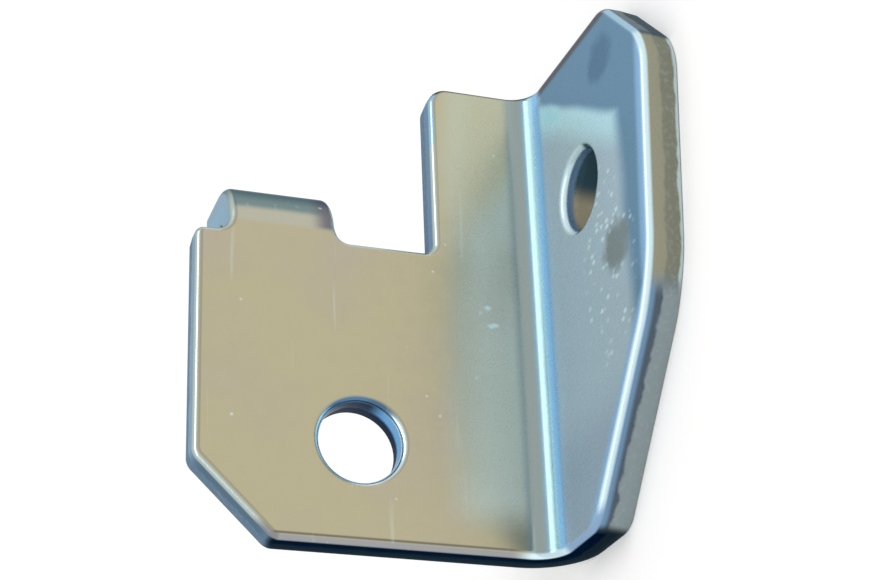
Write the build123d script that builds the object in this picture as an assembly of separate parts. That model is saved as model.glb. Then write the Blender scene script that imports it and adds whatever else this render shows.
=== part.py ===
from build123d import *
import os

# Stamped bracket, one piece of sheet: a plate with a flange folded forward along one side and a
# short lip folded back from its top. The sheet is drawn with the plate flat, X across it from its
# free edge to the flange, Y up it and Z out of its front face. The finished bracket is then turned
# to stand on its flange, with its origin on the axis of the flange's bolt hole, at the underside.

# Sheet and folds. The flange's fold has sprung open by a little past a right angle.
sheet = 3.0
bend_inside = 2.0
bend_outside = bend_inside + sheet
fold_opening = 1.5

# Plate, measured from its free edge and from its foot. Its width and that of the post beside the
# flange are to the fold's outer corner.
plate_width = 30.5
plate_height = 39.7
foot_chamfer = 6.0
shoulder_height = 24.5
post_width = 11.5
post_left = plate_width - post_width
foot_corner_round = 1.2
shoulder_round = 0.7
post_round = 1.6
notch_round = 0.9

# Lip: its side, its width, how far it rises before its fold and how far it reaches back from the
# plate's front face
lip_left = 2.7
lip_width = 8.3
lip_rise = 0.4
lip_reach = 8.4
lip_root_round = 1.2
lip_right = lip_left + lip_width
lip_top = shoulder_height + lip_rise + bend_outside

# Flange: where its outline turns, each place up from the foot and out from the fold's outer corner
foot_reach = 9.9
knee_height = 14.5
knee_reach = 21.7
brow_height = 33.2
brow_reach = 23.7
top_reach = 17.5
foot_round = 2.4
knee_round = 12.0
brow_round = 4.5
top_round = 2.4

# Bolt holes, each placed on its own leg like the leg's outline
hole_diameter = 6.4
plate_hole_x = 12.7
plate_hole_y = 8.1
flange_hole_height = 26.9
flange_hole_reach = 11.3

# Radius of the rim that the punch draws over on the front skin. The back rim stays sharp.
rollover = 0.6

# How far a blank runs past the outline that trims it, and how near two sizes count as equal
spare = 1.0
near = 1e-4

# Flange's outer face: X up the bracket, Y out along the flange from the fold's outer corner
flange_outward = Vector(1, 0, 0).rotate(Axis.Y, fold_opening)
flange_side = Plane(origin=(plate_width, 0, 0), x_dir=(0, 1, 0), z_dir=flange_outward)


def rounded(corners):
    """Closed outline through the corners given, each a point with the radius that rounds it."""
    with BuildSketch() as outline:
        with BuildLine():
            Polyline(*corners, close=True)
        make_face()
        for corner, radius in corners.items():
            if radius:
                fillet(outline.vertices().sort_by_distance((*corner, 0))[0], radius)
    return outline.sketch


def plate():
    """Plate as far as the start of the flange's fold."""
    fold_start = plate_width - bend_outside
    outline = rounded({
        (foot_chamfer, 0): foot_corner_round,
        (fold_start, 0): 0,
        (fold_start, plate_height): 0,
        (post_left, plate_height): post_round,
        (post_left, shoulder_height): notch_round,
        (0, shoulder_height): shoulder_round,
        (0, foot_chamfer): foot_corner_round,
    })
    return extrude(outline, sheet)


def folded_strip(foot, leg, length, opening=0):
    """Strip folded up from a foot along X, the fold's outer corner at the origin."""
    end = Vector(0, leg).rotate(Axis.Z, -opening)
    with BuildSketch(Plane.XZ) as section:
        with BuildLine():
            outside = FilletPolyline((-foot, 0), (0, 0), end, radius=bend_outside)
            offset(outside, sheet, side=Side.LEFT)
        make_face()
    return extrude(section.sketch, -length)


def flange():
    """Flange with its fold, trimmed to its outline."""
    outline = rounded({
        (0, -spare): 0,
        (0, foot_reach): foot_round,
        (knee_height, knee_reach): knee_round,
        (brow_height, brow_reach): brow_round,
        (plate_height, top_reach): top_round,
        (plate_height, -spare): 0,
    })
    foot = bend_outside + spare
    leg = max(knee_reach, brow_reach) + spare
    blank = Pos(plate_width, 0, 0) * folded_strip(foot, leg, plate_height, fold_opening)
    return blank & extrude(flange_side * outline, foot + spare, both=True)


def root(corner_x, side):
    """Filled corner where the lip leaves the shoulder: a square less the circle that hollows it."""
    across = corner_x + side * lip_root_round
    square = Rectangle(lip_root_round, lip_root_round, align=(Align.CENTER, Align.MIN))
    square = Pos((corner_x + across) / 2, shoulder_height) * square
    return square - Pos(across, shoulder_height + lip_root_round) * Circle(lip_root_round)


def lip():
    """Lip with its fold, drawn like the flange's strip, turned over and trimmed as seen face on."""
    rise = lip_top - shoulder_height
    outline = Pos(lip_left, shoulder_height) * Rectangle(lip_width, rise, align=Align.MIN)
    outline += root(lip_left, -1) + root(lip_right, 1)
    start = Plane(
        origin=(lip_left - lip_root_round, lip_top, sheet), x_dir=(0, 1, 0), z_dir=(0, 0, -1)
    )
    blank = start * folded_strip(rise, lip_reach, lip_width + 2 * lip_root_round)
    return blank & extrude(outline, 2 * lip_reach, both=True)


def front_rim(solid):
    """Edges round the front skin and its holes: those that only one face of the skin has."""
    flats = [
        face
        for skin in (Plane.XY.offset(sheet), flange_side.offset(-sheet), Plane.XZ.offset(-lip_top))
        for face in solid.faces().filter_by(skin)
        if abs(skin.to_local_coords(face.center()).Z) < near
    ]
    folds = solid.faces().filter_by(GeomType.CYLINDER)
    flange_folds = folds.filter_by(
        lambda face: face.axis_of_rotation.is_parallel(Axis.Y) and abs(face.radius - bend_inside) < near
    )
    lip_folds = folds.filter_by(
        lambda face: face.axis_of_rotation.is_parallel(Axis.X) and abs(face.radius - bend_outside) < near
    )
    skin_faces = [*flats, *flange_folds, lip_folds.sort_by(Axis.Z)[0]]
    edges = [edge for face in skin_faces for edge in face.edges()]
    return [edge for edge in edges if sum(edge.is_same(other) for other in edges) == 1]


def bolt_hole():
    """Punch for a bolt hole, long enough to pass through the sheet from either side."""
    return Cylinder(hole_diameter / 2, 3 * sheet)


bracket = plate() + flange() + lip()
bracket -= Pos(plate_hole_x, plate_hole_y, 0) * bolt_hole()
bracket -= flange_side * Pos(flange_hole_height, flange_hole_reach, 0) * bolt_hole()
bracket = bracket.solid()
bracket = bracket.fillet(rollover, front_rim(bracket))

# Stood on its flange: X runs up the plate, Y to the back and Z from the flange up to the free edge
bracket = flange_side.to_local_coords(bracket)
bracket = Rot(180, 0, 0) * Pos(-flange_hole_height, -flange_hole_reach, 0) * bracket
bracket.label = "bracket"

os.makedirs("parts", exist_ok=True)
export_step(bracket, "parts/bracket.step")
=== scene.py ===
import math

import bmesh
import bpy
from mathutils import Matrix, Vector


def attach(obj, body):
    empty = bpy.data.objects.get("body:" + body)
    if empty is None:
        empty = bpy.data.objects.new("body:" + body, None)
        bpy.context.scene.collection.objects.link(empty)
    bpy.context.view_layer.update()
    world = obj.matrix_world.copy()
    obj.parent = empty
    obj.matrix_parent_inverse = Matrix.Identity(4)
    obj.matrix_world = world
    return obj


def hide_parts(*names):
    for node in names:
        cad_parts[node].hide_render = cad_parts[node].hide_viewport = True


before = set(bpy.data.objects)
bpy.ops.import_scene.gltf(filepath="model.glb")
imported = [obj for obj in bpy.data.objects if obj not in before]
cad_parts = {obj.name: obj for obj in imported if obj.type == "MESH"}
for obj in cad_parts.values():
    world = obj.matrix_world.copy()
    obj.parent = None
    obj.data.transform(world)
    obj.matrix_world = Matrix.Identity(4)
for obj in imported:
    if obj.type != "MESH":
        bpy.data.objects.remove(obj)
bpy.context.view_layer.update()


# The bracket is one piece of 3 mm steel sheet, blanked flat, punched with two holes and then folded
# twice: the plate up from the flange, and the lip back from the plate. It is made here in the same
# order, with the blank lying on the floor where the flange stays. X runs up the bracket.
mm = 0.001
sheet = 3.0 * mm
bend_inside = 2.0 * mm
bend_outside = bend_inside + sheet
bend_middle = bend_inside + sheet / 2
fold_opening = math.radians(1.5)
fold_turn = math.radians(90) - fold_opening
fold_tangent = bend_outside * math.tan(fold_turn / 2)
fold_length = bend_middle * fold_turn
lip_turn = math.radians(90)

hole_radius = 3.2 * mm
flange_hole_height = 26.9 * mm
flange_hole_reach = 11.3 * mm
plate_hole_height = 8.1 * mm
plate_hole_in = 12.7 * mm

bracket_height = 39.7 * mm
plate_width = 30.5 * mm
foot_chamfer = 6.0 * mm
foot_corner_round = 1.2 * mm
shoulder_height = 24.5 * mm
shoulder_round = 0.7 * mm
post_in = 19.0 * mm
post_round = 1.6 * mm
notch_round = 0.9 * mm
lip_left = 2.7 * mm
lip_right = 11.0 * mm
lip_root_round = 1.2 * mm
lip_fold_height = shoulder_height + 0.4 * mm
lip_fold_length = bend_middle * lip_turn
lip_reach = 8.4 * mm
lip_height = lip_fold_height + lip_fold_length + lip_reach - bend_outside


def up(height):
    """Place along X of a height up the bracket from its foot."""
    return height - flange_hole_height


def out(reach):
    """Place along Y of a distance out along the flange from the fold's outer corner."""
    return flange_hole_reach - reach


def inboard(distance):
    """Place along Y, on the flat blank, of a distance in from the plate's free edge."""
    return out(fold_tangent) + fold_length + plate_width - fold_tangent - distance


def pick(kind, test):
    """Selects those vertices, edges or faces of the mesh being edited that pass the test."""
    bpy.ops.mesh.select_mode(type=kind)
    bpy.ops.mesh.select_all(action="DESELECT")
    mesh = bmesh.from_edit_mesh(bpy.context.object.data)
    parts = {"VERT": mesh.verts, "EDGE": mesh.edges, "FACE": mesh.faces}[kind]
    for part in parts:
        if test(part):
            part.select_set(True)
    mesh.select_flush_mode()
    bmesh.update_edit_mesh(bpy.context.object.data)


def cut(place, normal, drop=False):
    """Cuts the selected faces by a plane, and drops what lies on its far side."""
    bpy.ops.mesh.bisect(
        plane_co=place, plane_no=Vector(normal).normalized(), clear_outer=drop, threshold=1e-7
    )


def round_corner(x, y, radius, segments):
    """Rounds the outline's corner that is nearest to a place on the blank."""
    mesh = bmesh.from_edit_mesh(bpy.context.object.data)
    corner = min(mesh.verts, key=lambda vert: (vert.co - Vector((x, y, sheet))).length)
    place = corner.co.copy()
    first, second = (edge.other_vert(corner).co - place for edge in corner.link_edges)
    turn = math.pi - first.angle(second)
    pick("VERT", lambda vert: (vert.co - place).length < 1e-6)
    bpy.ops.mesh.bevel(
        affect="VERTICES",
        offset=radius * math.tan(turn / 2),
        segments=segments,
        profile=0.5,
        clamp_overlap=False,
    )


# Blank: a rectangle cut down to the developed outline
foot_reach = 9.9 * mm
knee_height = 14.5 * mm
knee_reach = 21.7 * mm
brow_height = 33.2 * mm
brow_reach = 23.7 * mm
top_reach = 17.5 * mm
blank_side = brow_reach + 1 * mm
bpy.ops.object.select_all(action="DESELECT")
bpy.ops.mesh.primitive_plane_add(size=1, location=(0, 0, 0))
bracket = bpy.context.object
bracket.name = "bracket_sheet"
bpy.ops.object.mode_set(mode="EDIT")
bpy.ops.transform.resize(value=(bracket_height, inboard(0) - out(blank_side), 1))
bpy.ops.transform.translate(
    value=(up(bracket_height / 2), (inboard(0) + out(blank_side)) / 2, sheet)
)

cut((0, inboard(post_in), 0), (0, 1, 0))
pick("FACE", lambda face: face.calc_center_median().y > inboard(post_in))
cut((up(shoulder_height), 0, 0), (1, 0, 0))
for side in (lip_right, lip_left):
    pick(
        "FACE",
        lambda face: face.calc_center_median().y > inboard(post_in)
        and face.calc_center_median().x > up(shoulder_height),
    )
    cut((0, inboard(side), 0), (0, 1, 0))
pick(
    "FACE",
    lambda face: face.calc_center_median().x > up(shoulder_height)
    and face.calc_center_median().y > inboard(post_in)
    and not inboard(lip_right) < face.calc_center_median().y < inboard(lip_left),
)
bpy.ops.mesh.delete(type="FACE")
pick(
    "FACE",
    lambda face: face.calc_center_median().x > up(shoulder_height)
    and inboard(lip_right) < face.calc_center_median().y < inboard(lip_left),
)
cut((up(lip_height), 0, 0), (1, 0, 0), drop=True)

# Flange: its free side is cut back to the foot and to the top
flange_turns = [
    (0, foot_reach),
    (knee_height, knee_reach),
    (brow_height, brow_reach),
    (bracket_height, top_reach),
]
flange_rounds = (2.4 * mm, 12 * mm, 4.5 * mm, 2.4 * mm)
for (low, low_reach), (high, high_reach) in zip(flange_turns, flange_turns[1:]):
    pick("FACE", lambda face: True)
    cut((up(low), out(low_reach), 0), (low_reach - high_reach, low - high, 0), drop=True)
pick("FACE", lambda face: True)
bpy.ops.mesh.dissolve_faces()
pick("VERT", lambda vert: len(vert.link_edges) == 2 and abs(vert.calc_edge_angle(0)) < 1e-4)
bpy.ops.mesh.dissolve_verts()

round_corner(up(0), inboard(0), foot_chamfer, 1)
round_corner(up(0), inboard(foot_chamfer), foot_corner_round, 6)
round_corner(up(foot_chamfer), inboard(0), foot_corner_round, 6)
round_corner(up(shoulder_height), inboard(0), shoulder_round, 6)
round_corner(up(shoulder_height), inboard(lip_left), lip_root_round, 8)
round_corner(up(shoulder_height), inboard(lip_right), lip_root_round, 8)
round_corner(up(shoulder_height), inboard(post_in), notch_round, 8)
round_corner(up(bracket_height), inboard(post_in), post_round, 10)
for (height, reach), radius in zip(flange_turns, flange_rounds):
    round_corner(up(height), out(reach), radius, 12)

# Lines scored across the blank through both hole centres, so that the skins divide cleanly there
for height in (plate_hole_height, flange_hole_height):
    pick("FACE", lambda face: True)
    cut((up(height), 0, 0), (1, 0, 0))

# Thickness: the punch leaves a polished wall, and below it the sheet breaks and falls in a little.
# A face belongs to a skin, and not to a wall, where its normal is more upright than the level here.
polished = 1.4 * mm
break_taper = 0.14 * mm
level = 0.9
pick("FACE", lambda face: True)
bpy.ops.mesh.extrude_region_move(TRANSFORM_OT_translate={"value": (0, 0, -polished)})
bpy.ops.mesh.select_all(action="SELECT")
bpy.ops.mesh.normals_make_consistent(inside=False)
bpy.ops.object.mode_set(mode="OBJECT")

for x, y in ((0, 0), (up(plate_hole_height), inboard(plate_hole_in))):
    bpy.ops.object.select_all(action="DESELECT")
    bpy.ops.mesh.primitive_cylinder_add(
        vertices=72, radius=hole_radius, depth=4 * sheet, location=(x, y, sheet)
    )
    punch = bpy.context.object
    hole = bracket.modifiers.new("hole", "BOOLEAN")
    hole.object = punch
    hole.operation = "DIFFERENCE"
    bpy.context.view_layer.objects.active = bracket
    bpy.ops.object.modifier_apply(modifier=hole.name)
    bpy.data.objects.remove(punch)

bpy.ops.object.select_all(action="DESELECT")
bracket.select_set(True)
bpy.context.view_layer.objects.active = bracket
bpy.ops.object.mode_set(mode="EDIT")
pick("FACE", lambda face: face.normal.z < -level)
bpy.ops.mesh.inset(thickness=break_taper, depth=sheet - polished)

# Rims: the punch draws the front rim over, and tumbling dulls the back rim
rollover = 0.6 * mm
back_round = 0.2 * mm


def is_rim(edge, side):
    """Whether an edge runs between a skin that faces up or down and a cut wall."""
    if len(edge.link_faces) != 2:
        return False
    tilts = sorted(side * face.normal.z for face in edge.link_faces)
    return tilts[1] > level and tilts[0] < 0.5


pick("EDGE", lambda edge: is_rim(edge, 1))
bpy.ops.mesh.bevel(offset=rollover, segments=7, profile=0.5, clamp_overlap=False)
pick("EDGE", lambda edge: is_rim(edge, -1))
bpy.ops.mesh.bevel(offset=back_round, segments=3, profile=0.5, clamp_overlap=False)

# Folds: the sheet is scored into narrow strips where it bends, and each fold is then closed
strips = 20
past_notch = inboard((post_in + lip_right) / 2)
pick("FACE", lambda face: True)
cut((up(lip_fold_height), 0, 0), (1, 0, 0))
for strip in range(strips):
    pick(
        "FACE",
        lambda face: face.calc_center_median().x > up(lip_fold_height)
        and face.calc_center_median().y > past_notch,
    )
    cut((up(lip_fold_height) + lip_fold_length * (strip + 1) / strips, 0, 0), (1, 0, 0))
for strip in range(strips + 1):
    pick("FACE", lambda face: True)
    cut((0, out(fold_tangent) + fold_length * strip / strips, 0), (0, 1, 0))
bpy.ops.object.mode_set(mode="OBJECT")

blank_place = bracket.data.attributes.new("blank", "FLOAT_VECTOR", "POINT")
for place, vert in zip(blank_place.data, bracket.data.vertices):
    place.vector = (vert.co.x + flange_hole_height, vert.co.y, sheet - vert.co.z)

lip_verts = bracket.vertex_groups.new(name="lip")
lip_verts.add([vert.index for vert in bracket.data.vertices if vert.co.y > past_notch], 1.0, "ADD")


def fold(start, along, across, length, turn, group=""):
    """Bends the sheet beyond a line, through an angle spread over a length, about the sheet's middle."""
    bpy.ops.object.empty_add(location=start)
    line = bpy.context.object
    third = along.cross(across)
    line.matrix_world = Matrix.Translation(start) @ Matrix((along, third, across)).transposed().to_4x4()
    bpy.context.view_layer.update()
    places = [(vert.co - Vector(start)).dot(across) for vert in bracket.data.vertices]
    low, span = min(places), max(places) - min(places)
    bend = bracket.modifiers.new("fold", "SIMPLE_DEFORM")
    bend.deform_method = "BEND"
    bend.deform_axis = "X"
    bend.origin = line
    bend.angle = turn
    bend.limits = (-low / span, (length - low) / span)
    bend.vertex_group = group
    bpy.ops.object.select_all(action="DESELECT")
    bpy.context.view_layer.objects.active = bracket
    bpy.ops.object.modifier_apply(modifier=bend.name)
    bpy.data.objects.remove(line)


lip_fold_start = Vector((up(lip_fold_height), 0, sheet / 2))
flange_fold_start = Vector((0, out(fold_tangent), sheet / 2))
up_blank = Vector((1, 0, 0))
across_blank = Vector((0, 1, 0))
fold(lip_fold_start, across_blank, up_blank, lip_fold_length, lip_turn, "lip")
fold(flange_fold_start, up_blank, across_blank, fold_length, fold_turn)

bpy.ops.object.select_all(action="DESELECT")
bracket.select_set(True)
bpy.context.view_layer.objects.active = bracket
bpy.ops.object.shade_smooth_by_angle(angle=math.radians(40))
even = bracket.modifiers.new("even", "WEIGHTED_NORMAL")
even.keep_sharp = True
bpy.ops.object.modifier_apply(modifier=even.name)


class Wire:
    """An output socket in the zinc's nodes, so that a sum on it is written as a sum."""

    tree = None

    def __init__(self, socket):
        self.socket = socket

    @classmethod
    def node(cls, kind, settings, values, output=0):
        """Adds a node of a type, with its settings, then what each of its inputs holds or is linked to."""
        node = cls.tree.nodes.new("ShaderNode" + kind)
        for name, setting in settings.items():
            setattr(node, name, setting)
        for place, value in values.items():
            if isinstance(value, Wire):
                cls.tree.links.new(value.socket, node.inputs[place])
            else:
                node.inputs[place].default_value = value
        return cls(node.outputs[output])

    def sum(self, operation, first, second):
        return self.node("Math", {"operation": operation}, {0: first, 1: second})

    def __add__(self, other):
        return self.sum("ADD", self, other)

    def __sub__(self, other):
        return self.sum("SUBTRACT", self, other)

    def __rsub__(self, other):
        return self.sum("SUBTRACT", other, self)

    def __mul__(self, other):
        return self.sum("MULTIPLY", self, other)

    __radd__ = __add__
    __rmul__ = __mul__


def rising(value, low, high):
    """Smooth step from 0 where a value is low to 1 where it is high."""
    ends = {"Value": value, "From Min": low, "From Max": high}
    return Wire.node("MapRange", {"interpolation_type": "SMOOTHSTEP"}, ends)


def most(first, second):
    """The greater of two masks."""
    return Wire.node("Math", {"operation": "MAXIMUM"}, {0: first, 1: second})


def within(value, middle, reach):
    """Mask of 1 where a value lies no further than a reach from its middle."""
    return Wire.node("Math", {"operation": "COMPARE"}, {0: value, 1: middle, 2: reach})


def band(value, low, full, last, high):
    """Mask that rises from 0 to 1 between the first two values, and falls between the last two."""
    return rising(value, low, full) * (1 - rising(value, last, high))


def tinted(base, colour, mask):
    """Base colour, turned to another where the mask is 1."""
    return Wire.node("Mix", {"data_type": "RGBA"}, {0: mask, 6: base, 7: colour}, output=2)


def layered(base, *tints):
    """Base colour with tints laid over it in turn, each a colour and the mask of where it shows."""
    for colour, mask in tints:
        base = tinted(base, colour, mask)
    return base


def grain(place, scale, detail=2, stretch=(1, 1, 1)):
    """Noise around 0.5 over the bracket, with a grain about 1 / scale metres across."""
    stretched = Wire.node("Mapping", {}, {"Vector": place, "Scale": stretch})
    return Wire.node("TexNoise", {}, {"Vector": stretched, "Scale": scale, "Detail": detail})


zinc = bpy.data.materials.new("zinc_plate")
zinc.use_nodes = True
Wire.tree = zinc.node_tree
surface = zinc.node_tree.nodes["Principled BSDF"]

# Where a place was on the flat blank, in millimetres: up it, across it from the plate's free edge,
# and down into its thickness from the front skin. All masks below are drawn on that blank.
blank = Wire.node("Attribute", {"attribute_name": "blank"}, {}, output="Vector")
height, side, depth = (Wire.node("SeparateXYZ", {}, {0: blank}, output=axis) for axis in "XYZ")
height = height * 1000
across = (inboard(0) - side) * 1000
depth = depth * 1000
place = Wire.node("TexCoord", {}, {}, output="Object")

cloud = grain(place, 110, 2)
mottle = grain(place, 700, 4)
grit = grain(place, 3500, 3)
streak = grain(place, 1100, 2, (0.06, 1, 1))
wander = (cloud - 0.5) * 2.5


def blotch(height_at, across_at, tall, wide):
    """Soft, uneven spot on the blank, with its half height and half width in millimetres."""
    over = (height - height_at) * (1 / tall)
    aside = (across - across_at) * (1 / wide)
    return 1 - rising(over * over + aside * aside + 1.3 * (mottle - 0.5), 0.3, 1.3)


# The skins, from the plate's free edge over the fold to the flange's free side. The plate is tinted
# straw and the flange steel blue, partly the zinc's own tints and partly painted reflection, with a
# painted highlight along the fold, painted reflection and shade on the flange and lip, and a few
# darker spots.
# The plate's straw and the flange's steel blue are the zinc's tints with painted reflection in them; the
# rose tone varies at random.
straw = (0.46, 0.42, 0.275, 1)
straw_rose = (0.45, 0.405, 0.30, 1)
# Painted reflection of the flange in the plate beside the fold: teal lower down, lighter straw higher up.
straw_reflection = (0.56, 0.56, 0.40, 1)
teal = (0.54, 0.61, 0.53, 1)
# Painted reflection and highlight across the fold: a grey band, then the bright line, pale and cyan, then
# a blue glow on the flange side.
fold_grey = (0.36, 0.43, 0.41, 1)
fold_pale = (0.30, 0.46, 0.54, 1)
fold_cyan = (0.55, 0.88, 1.0, 1)
fold_blue = (0.32, 0.64, 1.0, 1)
steel_blue = (0.46, 0.61, 0.72, 1)
# The flange is darker towards its foot.
steel_dim = (0.37, 0.49, 0.61, 1)
# Painted reflection on the flange: a pale band below its top, and darker blue along its top and free side.
pale_blue = (0.56, 0.87, 0.98, 1)
painted_reflection_blue = (0.165, 0.315, 0.46, 1)
blot_blue = (0.09, 0.185, 0.31, 1)
# Painted highlight on the flange: a cyan glint by the fold, and a blue glow beside the free rim.
glint_cyan = (0.50, 0.88, 1.0, 1)
glow_blue = (0.33, 0.58, 0.88, 1)
# Painted shade along the flange's top edge.
dusk_grey = (0.12, 0.13, 0.15, 1)
smudge_grey = (0.23, 0.29, 0.30, 1)
# The lip's bend: tan and teal bands of painted reflection, and painted shade towards its right end.
lip_tan = (0.46, 0.45, 0.36, 1)
lip_teal = (0.20, 0.27, 0.27, 1)
lip_shade = (0.17, 0.17, 0.19, 1)

beside_fold = rising(across + wander, 18.5, 23.0) * rising(height, 1.0, 4.5)
on_flange = rising(across, 30.6, 32.0)
slope = height + 0.6 * across
# Where the painted reflection lies along the flange's top and free side.
at_top = rising(slope + 0.5 * wander, 56.0, 57.2)
at_free_side = rising(across + 0.6 * wander, 43.8, 46.0)
# A painted glint by the fold, and the flange's free edge, beside which the painted glow lies.
glint = band(slope + 0.3 * wander, 54.2, 55.4, 56.0, 57.0) * band(across, 30.8, 32.2, 34.3, 36.0)
below_knee = 36.06 + 0.814 * height
above_knee = 46.31 + 0.107 * height
free_edge = Wire.node("Math", {"operation": "MINIMUM"}, {0: below_knee, 1: above_knee})
smudge = blotch(19.3, 43.2, 2.1, 2.3)
on_lip = within(across, 6.85, 5.5) * rising(height, 25.0, 25.4)
skin = layered(
    straw,
    (straw_rose, rising(cloud, 0.45, 0.7)),
    (teal, beside_fold),
    (straw_reflection, beside_fold * rising(0.9 * height - across, 0.5, 5.0)),
    (fold_grey, rising(across, 25.0, 25.9)),
    (fold_pale, rising(across, 27.2, 27.9)),
    (fold_cyan, rising(across, 28.6, 28.9)),
    (fold_blue, rising(across, 29.3, 29.9)),
    (steel_blue, on_flange),
    (steel_dim, on_flange * (1 - rising(height, 5, 11))),
    (pale_blue, on_flange * rising(slope + 0.5 * wander, 52.5, 55.5)),
    (painted_reflection_blue, on_flange * most(at_top, at_free_side)),
    (blot_blue, 0.7 * blotch(35.4, 42.8, 2.0, 2.2)),
    (glint_cyan, glint),
    (glow_blue, 0.8 * on_flange * rising(across - free_edge, -1.6, -0.7)),
    (dusk_grey, on_flange * rising(height, 38.4, 38.9)),
    (smudge_grey, 0.9 * smudge),
    (lip_tan, on_lip),
    (lip_teal, on_lip * rising(height + 0.15 * wander, 25.9, 26.4)),
    (lip_shade, on_lip * rising(across, 8.8, 10.4)),
)

# The rim that the punch draws over, painted pale as a highlight: cream on the plate, greyer along the
# foot, bluer by the fold's foot and near the top, and in painted shade dark brown along the top edge
# and darker in the holes
rim_pale = (0.72, 0.92, 1.0, 1)
rim_cream = (0.58, 0.67, 0.63, 1)
rim_rose = (0.34, 0.345, 0.35, 1)
rim_blue = (0.30, 0.46, 0.68, 1)
rim_sky = (0.42, 0.64, 0.80, 1)
rim_hole = (0.10, 0.20, 0.32, 1)
hole_slate = (0.04, 0.09, 0.12, 1)
rim_brown = (0.12, 0.11, 0.09, 1)
on_plate = 1 - rising(across, 24, 26)
low = 1 - rising(height, 0.7, 1.8)
hole_zone = 3.9
plate_hole = within(height, 8.1, hole_zone) * within(across, 12.7, hole_zone)
flange_hole = within(height, 26.9, hole_zone) * within(across, 37.5, hole_zone)
rim = layered(
    rim_pale,
    (rim_cream, on_plate * (1 - plate_hole)),
    (rim_rose, on_plate * low),
    (rim_blue, rising(across, 30.0, 31.5) * low),
    (rim_sky, rising(height, 33.8, 34.6)),
    (rim_brown, rising(height, 38.8, 39.2)),
    (rim_hole, plate_hole * rising(height, 9.5, 11.0)),
    (hole_slate, flange_hole * rising(across - 0.35 * height, 27.6, 28.5)),
)
# Painted shade: a dark line just above the plate's foot rim; then the rim's colours over the skin.
skin = layered(
    skin,
    (rim_brown, 0.8 * on_plate * band(height, 0.34, 0.42, 0.48, 0.62)),
    (rim, rising(depth, 0.015, 0.12)),
)

# The cut wall: polished by the punch next to the front rim, and broken and rougher below it. Its
# colours are painted reflection and painted shade, by the way each part faces: blue, paler along the
# plate's free side and the lip's side, deeper on the chamfer, tan on the flange's upper side, darker
# on the flange's top and lower slant, and darkest, in painted shade, on the foot's face.
edge_blue = (0.17, 0.30, 0.46, 1)
edge_pale = (0.24, 0.42, 0.58, 1)
edge_deep = (0.10, 0.185, 0.27, 1)
edge_straw = (0.32, 0.315, 0.23, 1)
edge_slate = (0.09, 0.12, 0.155, 1)
edge_dark = (0.026, 0.038, 0.045, 1)
edge_dusk = (0.05, 0.09, 0.115, 1)
edge_lip = (0.32, 0.50, 0.64, 1)
broken_grey = (0.29, 0.35, 0.37, 1)
broken_blue = (0.15, 0.24, 0.34, 1)
broken_straw = (0.24, 0.25, 0.19, 1)
broken_pale = (0.44, 0.50, 0.50, 1)
# Pale of wear, also used for a painted glint along a back rim.
wear_and_glint_pale = (0.75, 0.95, 1.0, 1)
hole_navy = (0.006, 0.03, 0.07, 1)
hole_blue = (0.20, 0.52, 0.90, 1)
hole_tan = (0.42, 0.38, 0.27, 1)
inside = 1 - rising(depth, 2.85, 2.95)
on_front = 1 - rising(depth, 0.35, 0.6)
wall = rising(depth, 0.35, 0.6) * inside
broken = rising(depth + mottle * 0.9 + cloud * 0.6, 2.05, 2.35) * inside
free_side = rising(across, 40, 44)
upper_side = free_side * rising(height, 13.5, 15.5)
slant = rising(across, 33, 35) * (1 - rising(height, 13.5, 15.5))
over_chamfer = rising(height, 5.0, 6.5)
on_foot_face = 1 - rising(height, 0.05, 0.4)
# The broken zone: partly its own rough grey and partly painted reflection, by the way it faces; its pale
# specks are its own grain, and a pale line of painted glint runs along the back rim of the flange's upper
# side.
rough_cut = layered(
    broken_blue,
    (broken_grey, slant),
    (broken_straw, upper_side),
    (broken_pale, 0.2 * rising(grain(place, 2600, 3), 0.5, 0.66)),
    (wear_and_glint_pale, 0.6 * upper_side * rising(depth + 0.6 * (mottle - 0.5), 2.55, 2.75)),
)
# Painted light and shade in the holes: the plate hole's wall lit blue on one side and navy on the other,
# and the flange hole's wall tan at mid height and dark above and below.
lit_side = rising(across, 13.5, 15.0) * (1 - rising(depth, 1.3, 1.9))
plate_hole_wall = tinted(hole_navy, hole_blue, lit_side)
hole_shade = tinted(hole_slate, hole_tan, band(height, 24.0, 25.2, 27.4, 29.0))
flange_hole_wall = tinted(edge_blue, hole_shade, rising(depth, 0.8, 1.2))
cut_wall = layered(
    edge_blue,
    (edge_pale, over_chamfer * (1 - rising(across, 0.3, 1.2))),
    (edge_deep, (1 - over_chamfer) * (1 - rising(across, 5.0, 6.5))),
    (edge_slate, slant * rising(depth, 0.7, 1.1)),
    (edge_straw, upper_side),
    (rough_cut, broken),
    (edge_dusk, rising(across, 29, 36) * rising(height, 33.7, 34.3)),
    (edge_lip, band(across, 1.0, 1.2, 2.85, 3.6) * rising(height, 23.9, 24.1)),
    (plate_hole_wall, plate_hole),
    (flange_hole_wall, flange_hole),
    (edge_dark, on_foot_face),
)

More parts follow.
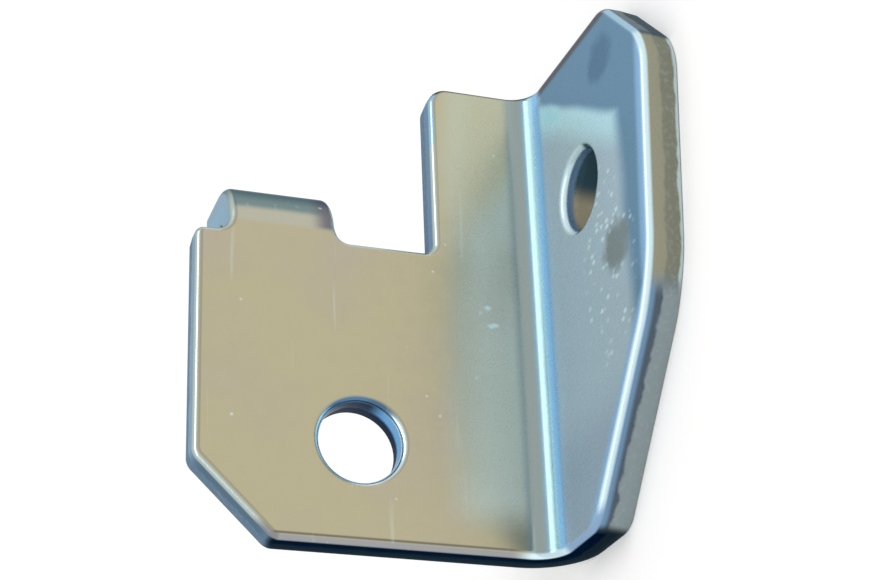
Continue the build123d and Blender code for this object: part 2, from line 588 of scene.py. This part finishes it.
# Wear: pale pecks where the bracket has knocked against others, bright flecks on the flange, and
# faint lines drawn along the plate. The back skin has none of it and is a plain grey.
back_grey = (0.50, 0.50, 0.42, 1)
peck_scale = 420.0
fleck_scale = 1150.0
knock = Wire.node("TexVoronoi", {}, {"Vector": place, "Scale": peck_scale}, output="Distance")
peck = on_plate * (1 - rising(knock + 0.1 * mottle, 0.07, 0.13))
flat_cells = Wire.node("Mapping", {}, {"Vector": place, "Scale": (1.6, 1, 1)})
from_cell, cell_draw = (
    Wire.node("TexVoronoi", {}, {"Vector": flat_cells, "Scale": fleck_scale}, output=kind)
    for kind in ("Distance", "Color")
)
chance = Wire.node("SeparateXYZ", {}, {0: cell_draw}, output="X")
flecked = most(blotch(18.4, 41.6, 8.0, 4.4) * (1 - smudge), blotch(19.6, 23.7, 1.6, 1.2))
fleck = (1 - rising(from_cell, 0.15, 0.48)) * rising(chance, 0.48, 0.56) * flecked
line = rising(streak, 0.66, 0.74) * on_plate
colour = layered(
    skin,
    (back_grey, rising(depth, 2.85, 2.97)),
    (cut_wall, wall),
    (wear_and_glint_pale, peck * on_front * 0.4),
    (wear_and_glint_pale, fleck * on_front * 0.9),
    (wear_and_glint_pale, line * on_front * 0.12),
)
zinc.node_tree.links.new(colour.socket, surface.inputs["Base Color"])

# The zinc is duller beside the fold and on the cut walls, and shows its own colour there
fold_dull = most(beside_fold * (1 - rising(across, 26.3, 27.3)), rising(across, 29.3, 29.9))
# The painted glint and the flecks are duller too, so that their pale colour shows.
dull_skin = most(fold_dull, most(glint, fleck))
duller = most(dull_skin * on_front, wall * (1 - on_foot_face))
metallic = 1 - 0.6 * duller
zinc.node_tree.links.new(metallic.socket, surface.inputs["Metallic"])
surface.inputs["Specular Tint"].default_value = (0.3, 0.35, 0.4, 1)
surface.inputs["Specular IOR Level"].default_value = 0.15

roughness = 0.22 + 0.12 * (mottle - 0.5) + 0.1 * (grit - 0.5) + 0.06 * duller + 0.3 * broken * wall
zinc.node_tree.links.new(roughness.socket, surface.inputs["Roughness"])
relief = mottle * 0.004 + grit * 0.0006 * (1 + 8 * broken * wall)
bump = Wire.node("Bump", {}, {"Height": relief, "Strength": 0.35, "Distance": 0.001})
zinc.node_tree.links.new(bump.socket, surface.inputs["Normal"])
bracket.data.materials.append(zinc)

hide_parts("bracket")
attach(bracket, "root")

# Floor: a broad sheet of pale matt paper that the bracket stands on. It is lifted to near white
# where the camera sees it, by itself or mirrored in the zinc, and it keeps the bracket's shadow.
bpy.ops.object.select_all(action="DESELECT")
bpy.ops.mesh.primitive_plane_add(size=4, location=(0, 0, 0))
floor = bpy.context.object
floor.name = "floor"
paper = bpy.data.materials.new("paper")
paper.use_nodes = True
Wire.tree = paper.node_tree
paper_surface = paper.node_tree.nodes["Principled BSDF"]
paper_surface.inputs["Base Color"].default_value = (0.9, 0.9, 0.9, 1)
paper_surface.inputs["Roughness"].default_value = 0.9
paper_surface.inputs["Specular IOR Level"].default_value = 0
direct, mirrored, through = (
    Wire.node("LightPath", {}, {}, output=f"Is {ray} Ray") for ray in ("Camera", "Glossy", "Transmission")
)
lift = tinted((0, 0, 0, 1), (0.16, 0.16, 0.16, 1), most(direct, most(mirrored, through)))
paper.node_tree.links.new(lift.socket, paper_surface.inputs["Emission Color"])
paper_surface.inputs["Emission Strength"].default_value = 1
floor.data.materials.append(paper)

# Light: an even white room, and one long soft box overhead, a little to the front, that draws the
# bright lines along the fold and the rims
world = bpy.data.worlds.new("studio")
bpy.context.scene.world = world
world.use_nodes = True
world.node_tree.nodes["Background"].inputs["Color"].default_value = (1, 1, 1, 1)
world.node_tree.nodes["Background"].inputs["Strength"].default_value = 0.78

lamp_data = bpy.data.lights.new("overhead", "AREA")
lamp_data.shape = "RECTANGLE"
lamp_data.size = 2.4
lamp_data.size_y = 0.42
lamp_data.energy = 7.0
lamp = bpy.data.objects.new("overhead", lamp_data)
bpy.context.collection.objects.link(lamp)
lamp_distance = 1.5
toward_lamp = Vector((0.08, -0.31, 0.947)).normalized()
across_lamp = toward_lamp.cross(Vector((1, 0, 0))).normalized()
along_lamp = across_lamp.cross(toward_lamp)
lamp.matrix_world = Matrix.Translation(toward_lamp * lamp_distance) @ Matrix(
    (along_lamp, across_lamp, toward_lamp)
).transposed().to_4x4()

# Camera: above and in front of the plate, turned on its side as the photograph was taken, with the
# plate facing it and the flange coming towards it on the right
camera_data = bpy.data.cameras.new("camera")
camera = bpy.data.objects.new("camera", camera_data)
bpy.context.collection.objects.link(camera)
camera_data.sensor_width = 36
camera_data.lens = 87.86
camera_data.clip_start = 0.01
camera.location = (-0.077925, -0.129071, 0.064619)
camera.rotation_euler = (math.radians(20.6886), math.radians(69.8538), math.radians(-95.7653))
bpy.context.scene.camera = camera
bpy.context.scene.view_settings.view_transform = "Standard"
